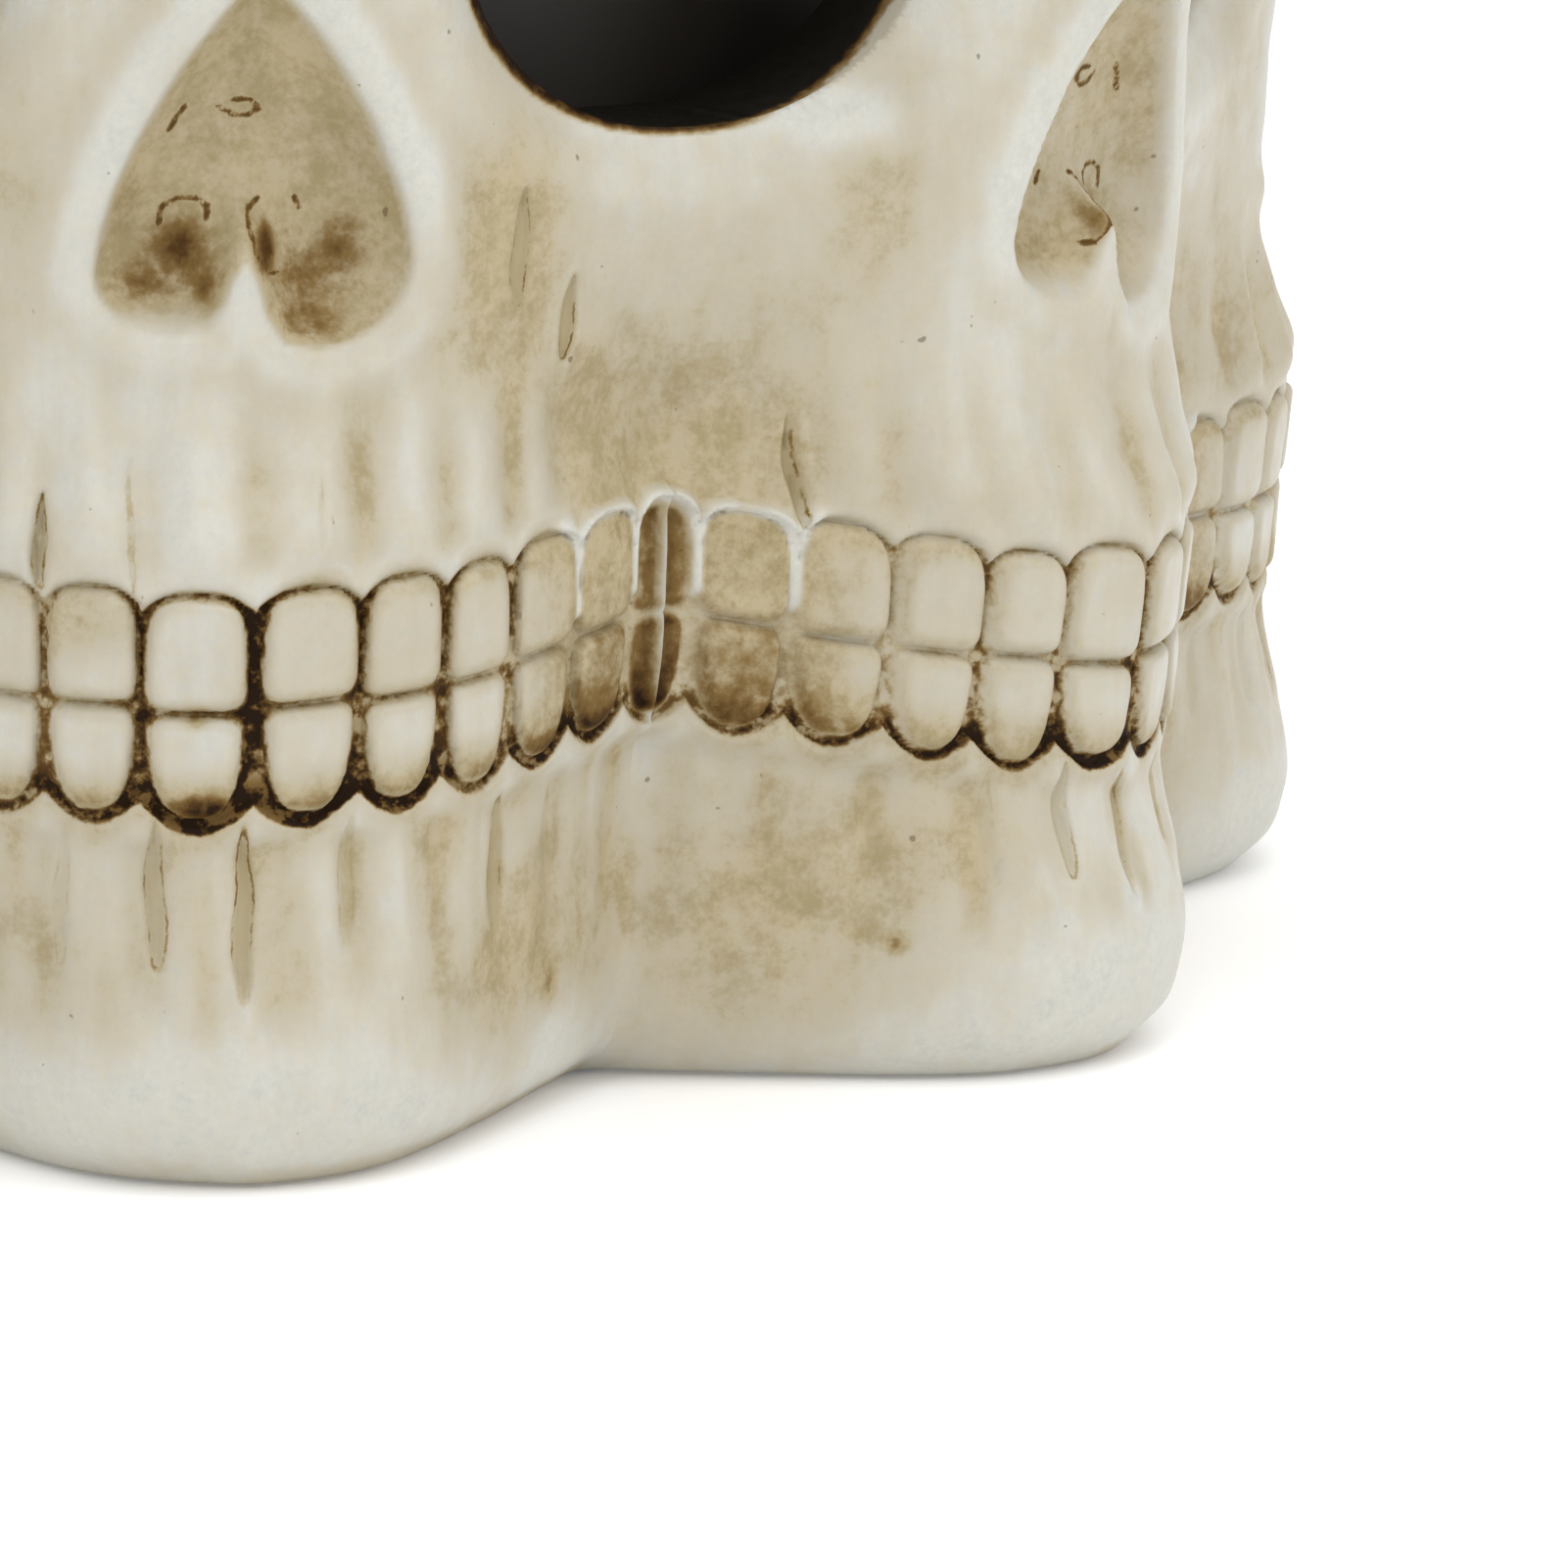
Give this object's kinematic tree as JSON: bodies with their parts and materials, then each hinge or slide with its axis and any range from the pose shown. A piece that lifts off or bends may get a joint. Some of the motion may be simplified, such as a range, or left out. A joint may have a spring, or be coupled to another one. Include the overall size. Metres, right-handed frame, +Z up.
{
  "type": "skull bowl decoration",
  "caption": "Halloween bowl whose wall is a ring of joined bone-coloured skull faces with shared eye sockets, round a black liner that lifts out.",
  "frame": {"origin": "on the table, in the middle of the ring of faces", "axes": "+Z up along the axis of the ring, -Y out through the middle of face 1, +X to its right as a viewer in front of it sees it"},
  "size_m": [0.2248, 0.2248, 0.1553],
  "materials": {
    "bone_resin": "satin cast resin, bone white with a brown wash in the hollows",
    "black_plastic": "satin black",
    "grey_plastic": "dark grey, fine grain",
    "zinc_screw": "zinc plated",
    "brown_felt": "dark brown felt"
  },
  "bodies": {
    "ring": {"skull_face_1": "bone_resin", "skull_face_2": "bone_resin", "skull_face_3": "bone_resin", "skull_face_4": "bone_resin", "skull_face_5": "bone_resin", "skull_face_6": "bone_resin", "skull_face_7": "bone_resin", "skull_face_8": "bone_resin", "base_screw_1": "zinc_screw", "base_screw_2": "zinc_screw", "base_screw_3": "zinc_screw", "base_screw_4": "zinc_screw", "base_screw_5": "zinc_screw", "base_screw_6": "zinc_screw", "base_screw_7": "zinc_screw", "base_screw_8": "zinc_screw", "felt_foot_1": "brown_felt", "felt_foot_2": "brown_felt", "felt_foot_3": "brown_felt", "felt_foot_4": "brown_felt", "felt_foot_5": "brown_felt", "felt_foot_6": "brown_felt", "felt_foot_7": "brown_felt", "felt_foot_8": "brown_felt", "base_plate": "grey_plastic"},
    "liner": {"black_liner": "black_plastic"}
  },
  "joints": [
    {"name": "liner_lift", "type": "slide", "parent": "ring", "child": "liner", "axis": [0, 0, 1], "range_m": [0, 0.15]}
  ]
}
